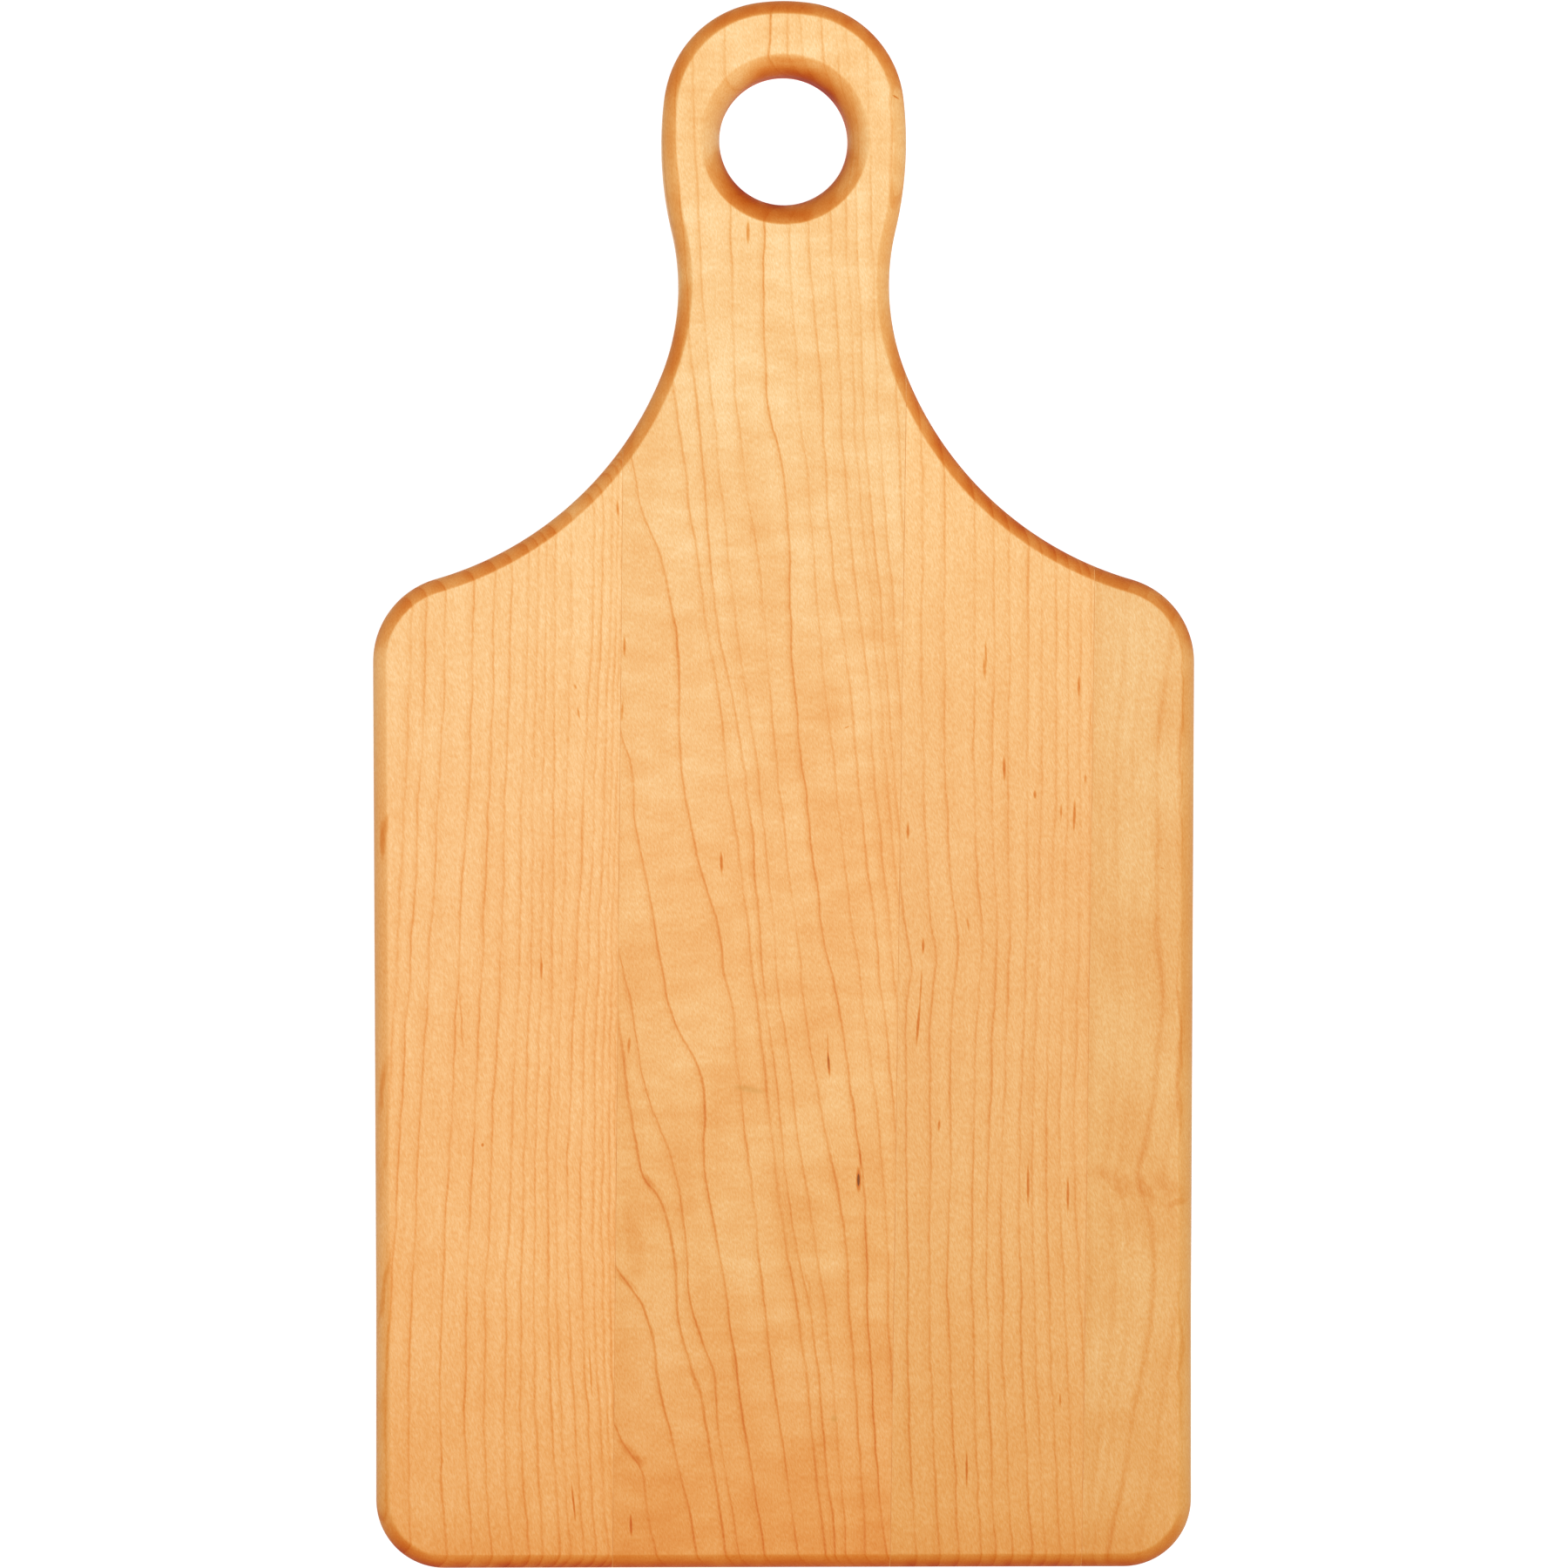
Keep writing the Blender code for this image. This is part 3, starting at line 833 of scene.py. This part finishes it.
def oil_and_shade_depth(wiring, place, across_ring, grain):
    """Give the depth of colour from oil in the end grain and from painted shade on edges and hole.
    """
    normal = wiring.add("ShaderNodeTexCoord").outputs["Normal"]
    normal_x, normal_y, normal_z = wiring.split(normal)
    facing = wiring.math("MULTIPLY_ADD", normal_y, 0.5, 0.5)
    z = wiring.split(place)["Z"]
    off_middle = wiring.math("ABSOLUTE", wiring.math("SUBTRACT", z, THICKNESS_MM / 2))
    in_hole = hole_share(wiring, place)
    outside = wiring.math("SUBTRACT", 1.0, in_hole)

    # The end of the wood at the base is darker: partly oil in its end grain, partly painted shade.
    base_end = wiring.span(facing, *BASE_FACING)
    base_end = wiring.math("MULTIPLY_ADD", base_end, grain["base_oil_and_shade"], 1.0)
    # Painted shade that darkens the edges on one pair of diagonals.
    skew_shade = wiring.math("MULTIPLY", normal_x, normal_y)
    skew_shade = wiring.math("MULTIPLY_ADD", skew_shade, SKEW_SHADE, 1.0)
    blotches = wiring.noise(place, grain["seed"], BLOTCHES)
    blotches = wiring.math("MULTIPLY_ADD", blotches, BLOTCH_SOAK, 1.0)
    # Painted shade: the hole's walls darken.
    hole = wiring.math("MULTIPLY_ADD", in_hole, HOLE_SHADE, 1.0)
    soak_and_shade = wiring.product(wiring.curve(facing, SOAK), base_end, skew_shade, blotches, hole)

    handle_end = wiring.math("MULTIPLY", wiring.span(facing, *HANDLE_FACING), outside)
    inward = wiring.math("MULTIPLY_ADD", handle_end, INWARD_HANDLE_SOAK, INWARD_SOAK)
    inward = wiring.math("MULTIPLY", wiring.span(off_middle, *INWARD), inward)
    flat_side = wiring.math("MULTIPLY", wiring.span(off_middle, *FLAT_SIDE), outside)
    banding = wiring.math("MULTIPLY", flat_side, FLAT_SIDE_BANDING)
    banding = wiring.math("MAXIMUM", banding, grain["banding"])
    band = wiring.math("MULTIPLY", across_ring, across_ring)
    band = wiring.math("SUBTRACT", band, BAND_MEAN)
    band = wiring.math("MULTIPLY_ADD", band, banding, 1.0)
    flat = wiring.math("MULTIPLY_ADD", flat_side, FLAT_SIDE_SOAK, 1.0)
    soak_and_shade = wiring.product(soak_and_shade, band, wiring.math("ADD", inward, 1.0), flat)

    # Painted shade deep in the hole and on its right wall.
    hole_middle = wiring.span(off_middle, *HOLE_MIDDLE)
    hole_right = wiring.span(normal_x, *HOLE_RIGHT)
    sideways = wiring.span(wiring.math("ABSOLUTE", normal_x), *SIDEWAYS)
    side_along = wiring.span(way_along(wiring, place), *SIDE_ALONG)
    steep = wiring.span(wiring.math("ABSOLUTE", normal_z), *STEEP)
    return wiring.total(
        soak_and_shade,
        wiring.product(in_hole, hole_middle, HOLE_MIDDLE_SHADE),
        wiring.product(in_hole, hole_right, HOLE_RIGHT_SHADE),
        wiring.product(sideways, outside, side_along, SIDE_SOAK),
        # Patches of painted shade, and of painted light where their depth is below zero, on the
        # edges and in the hole.
        wiring.product(patches(wiring, place, grain["shade_and_oil_patches"]), steep),
    )


def darken_near_base(wiring, place, grain):
    """Give the depth of colour where the upper face darkens unevenly towards the base edge."""
    y = wiring.split(place)["Y"]
    edge = wiring.noise(place, grain["seed"], BASE_DARKENING_EDGE)
    edge = wiring.math("MULTIPLY_ADD", edge, BASE_DARKENING_WAVES, y)
    return wiring.math("MULTIPLY", wiring.span(edge, *BASE_DARKENING), grain["near_base_depth"])


def mineral_stains(wiring, place, grain):
    """Give the depth of a stave's mineral stains, whose edges are blurred."""
    blur = wiring.noise(place, grain["seed"], BLUR)
    shift = wiring.join(blur, blur, 0.0)
    shift = wiring.vector("MULTIPLY", shift, (BLUR_REACH, BLUR_REACH, 0.0))
    return patches(wiring, wiring.vector("ADD", place, shift), grain["stains"])


def fine_fibres(wiring, place, grain):
    """Give the fine fibres, which lean across the board."""
    y = wiring.split(place)["Y"]
    lean = wiring.join(y, 0.0, 0.0)
    leaning = wiring.vector("MULTIPLY_ADD", lean, (FIBRE_LEAN, 0.0, 0.0), place)
    return wiring.noise(leaning, grain["seed"], FIBRES)


def wood_colour(wiring, place, colours, figure, oil_and_shade, gum):
    """Give the wood's colour, darkened by its figure, oil, painted shade and gum."""
    along = way_along(wiring, place)
    depth = wiring.math("ADD", figure, oil_and_shade)
    yellowed = wiring.product(figure, wiring.span(along, *NEAR_BASE), YELLOWED)
    yellowed = wiring.math("MULTIPLY_ADD", gum, GUM_YELLOWED, yellowed)
    taken = [wiring.math("MULTIPLY", depth, weight) for weight in TAKEN]
    taken[2] = wiring.math("ADD", taken[2], yellowed)
    left = []
    for amount in taken:
        left.append(wiring.math("EXPONENT", wiring.math("MULTIPLY", amount, -1.0)))

    # The colours along the board hold painted light and shade: paler at the handle, deeper at the
    # base.
    ramp = wiring.add("ShaderNodeValToRGB", (along,))
    stops = ramp.color_ramp.elements
    stops[0].position = COLOUR_PLACES[0]
    stops[1].position = COLOUR_PLACES[-1]
    for position in COLOUR_PLACES[1:-1]:
        stops.new(position)
    for stop, colour in zip(stops, reversed(colours)):
        stop.color = linear(*colour)
    wood = wiring.vector("MULTIPLY", ramp.outputs[0], wiring.join(*left))
    return wiring.blend(wiring.span(gum, *GUM_CORE), wood, GUM)


def maple(name, grain):
    """Make one stave's oiled maple."""
    material, wiring, shader, place = start_material(name)
    seed = grain["seed"]
    rings, zones, across_ring = growth_rings(wiring, place, grain)
    fibres = fine_fibres(wiring, place, grain)
    oil_and_shade = oil_and_shade_depth(wiring, place, across_ring, grain)
    gum = patches(wiring, place, grain["flecks"])
    kept = BANDING_KEEPS * grain["banding"] - OIL_HIDES
    kept = wiring.math("MULTIPLY_ADD", oil_and_shade, kept, 1.0)
    figure = wiring.total(
        wiring.math("MULTIPLY", rings, wiring.math("MAXIMUM", kept, LEAST_RING)),
        wiring.math("MULTIPLY", gum, GUM_TONE),
        wiring.math("MULTIPLY", mineral_stains(wiring, place, grain), STAIN_TONE),
        wiring.math("MULTIPLY", fibres, FIBRE_TONE),
        wiring.math("MULTIPLY", wiring.noise(place, seed, STREAKS), STREAK_TONE),
        wiring.math("MULTIPLY", zones, ZONE_TONE),
        # Painted sheen: the light and dark cross bands of the curly figure.
        wiring.math("MULTIPLY", wiring.noise(place, seed, CURL_SHEEN), grain["curl_sheen"]),
        wiring.math("MULTIPLY", wiring.noise(place, seed, MOTTLE), grain["mottle"]),
        # The upper face darkens unevenly towards the base edge.
        darken_near_base(wiring, place, grain),
    )
    colour = wood_colour(wiring, place, grain["colours"], figure, oil_and_shade, gum)
    height = wiring.total(
        wiring.math("MULTIPLY", rings, RING_RELIEF),
        wiring.math("MULTIPLY", fibres, FIBRE_RELIEF),
        wiring.math("MULTIPLY", gum, GUM_RELIEF),
    )
    if grain["grazes"]:
        grazes = patches(wiring, place, grain["grazes"])
        colour = wiring.blend(grazes, colour, GRAZE)
        height = wiring.math("MULTIPLY_ADD", grazes, GRAZE_RELIEF, height)
    wiring.feed(shader.inputs["Base Color"], colour)
    roughness = wiring.math("MULTIPLY_ADD", fibres, FIBRE_ROUGHNESS, ROUGHNESS)
    roughness = wiring.math("MULTIPLY_ADD", oil_and_shade, OIL_ROUGHNESS, roughness)
    wiring.feed(shader.inputs["Roughness"], roughness)
    add_relief(wiring, shader, height, WOOD_RELIEF)
    return material


def cured_glue():
    """Make the amber glue of the seams, paler and darker along the board."""
    material, wiring, shader, place = start_material("cured_glue")
    along = way_along(wiring, place)
    clouds = wiring.noise(place, GLUE_SEED, GLUE_CLOUDS)
    fine = wiring.noise(place, GLUE_SEED, GLUE_GRAIN)
    # Like the wood, the glue is paler towards the handle partly as painted light.
    pale = wiring.blend(along, *[linear(*colour) for colour in PALE_GLUE])
    amber = wiring.blend(along, *[linear(*colour) for colour in AMBER_GLUE])
    tone = wiring.math("MULTIPLY_ADD", fine, GLUE_FINE_TONE, clouds)
    colour = wiring.blend(wiring.span(tone, *GLUE_TONE), amber, pale)
    wiring.feed(shader.inputs["Base Color"], colour)
    roughness = wiring.math("MULTIPLY_ADD", fine, GLUE_ROUGHNESS_RANGE, GLUE_ROUGHNESS)
    wiring.feed(shader.inputs["Roughness"], roughness)
    add_relief(wiring, shader, clouds, GLUE_RELIEF)
    return material


# ---------------------------------------------------------------- board

# A stave is its name, its node, the seams on its left and right, its slot and its grain.
STAVES = (
    ("maple_stave_left", "stave_left", None, SEAM_LEFT, "maple_left", LEFT_GRAIN),
    ("maple_stave_centre", "stave_centre", SEAM_LEFT, SEAM_CENTRE, "maple_centre", CENTRE_GRAIN),
    ("maple_stave_right", "stave_right", SEAM_CENTRE, SEAM_RIGHT, "maple_right", RIGHT_GRAIN),
    ("maple_stave_edge", "stave_edge", SEAM_RIGHT, None, "maple_edge", EDGE_GRAIN),
)
GLUE_NODES = ("glue_line_left", "glue_line_centre", "glue_line_right")


def make_board():
    """Make the four visible staves, and give the frame's glue films their material."""
    for name, node, seam_on_left, seam_on_right, slot, grain in STAVES:
        stave = make_stave(name, node, seam_on_left, seam_on_right, maple(name, grain))
    glue = cured_glue()
    for node in GLUE_NODES:
        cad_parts[node].material_slots[0].material = glue


# ---------------------------------------------------------------- studio

CAMERA_PLACE = Vector((-0.06, 0.0, 2.114))
CAMERA_TARGET = Vector((0.0, 0.0, 0.014))
FRAME_HALF = 0.17127
CLIP_START = 0.01
WHITE = (1.0, 1.0, 1.0, 1.0)
FLOOR_REACH = 3.0
FLOOR_DROP = 0.0002
FLOOR_COLOUR = (0.25, 0.25, 0.25, 1.0)
FLOOR_ROUGHNESS = 0.8
FLOOR_GLOW = 0.92
SOFTBOX_PLACE = Vector((0.15, -0.15, 2.15))
SOFTBOX_SIZE = (1.0, 0.8)
SOFTBOX_POWER = 39.5
ROOM_LIGHT = 0.25


def make_floor():
    """Lay a plain pale floor that glows a little, like a light table."""
    reach = FLOOR_REACH
    corners = [(-reach, -reach, 0), (reach, -reach, 0), (reach, reach, 0), (-reach, reach, 0)]
    mesh = bpy.data.meshes.new("floor")
    mesh.from_pydata(corners, [], [(0, 1, 2, 3)])
    floor = bpy.data.objects.new("floor", mesh)
    floor.location.z = -FLOOR_DROP
    bpy.context.scene.collection.objects.link(floor)
    material = bpy.data.materials.new("floor_white")
    material.use_nodes = True
    shader = material.node_tree.nodes["Principled BSDF"]
    shader.inputs["Base Color"].default_value = FLOOR_COLOUR
    shader.inputs["Roughness"].default_value = FLOOR_ROUGHNESS
    shader.inputs["Emission Color"].default_value = WHITE
    shader.inputs["Emission Strength"].default_value = FLOOR_GLOW
    mesh.materials.append(material)


def make_camera():
    """Look straight down at the board, a little from its left."""
    data = bpy.data.cameras.new("camera")
    camera = bpy.data.objects.new("camera", data)
    bpy.context.scene.collection.objects.link(camera)
    camera.location = CAMERA_PLACE
    away = CAMERA_TARGET - CAMERA_PLACE
    backward = -away.normalized()
    right = Vector((0.0, 1.0, 0.0)).cross(backward).normalized()
    up = backward.cross(right)
    camera.rotation_euler = Matrix((right, up, backward)).transposed().to_euler()
    data.angle = 2 * math.atan(FRAME_HALF / away.length)
    data.clip_start = CLIP_START
    bpy.context.scene.camera = camera


def make_softbox():
    """Hang a soft rectangular light that faces the board."""
    data = bpy.data.lights.new("softbox", "AREA")
    data.shape = "RECTANGLE"
    data.size, data.size_y = SOFTBOX_SIZE
    data.energy = SOFTBOX_POWER
    light = bpy.data.objects.new("softbox", data)
    light.location = SOFTBOX_PLACE
    light.rotation_euler = (-SOFTBOX_PLACE).to_track_quat("-Z", "Y").to_euler()
    bpy.context.scene.collection.objects.link(light)


def make_room():
    """Surround everything with an even white light."""
    world = bpy.data.worlds.new("studio")
    bpy.context.scene.world = world
    world.use_nodes = True
    background = world.node_tree.nodes["Background"]
    background.inputs["Color"].default_value = WHITE
    background.inputs["Strength"].default_value = ROOM_LIGHT


make_board()
make_floor()
make_camera()
make_softbox()
make_room()
bpy.context.scene.view_settings.view_transform = "Standard"
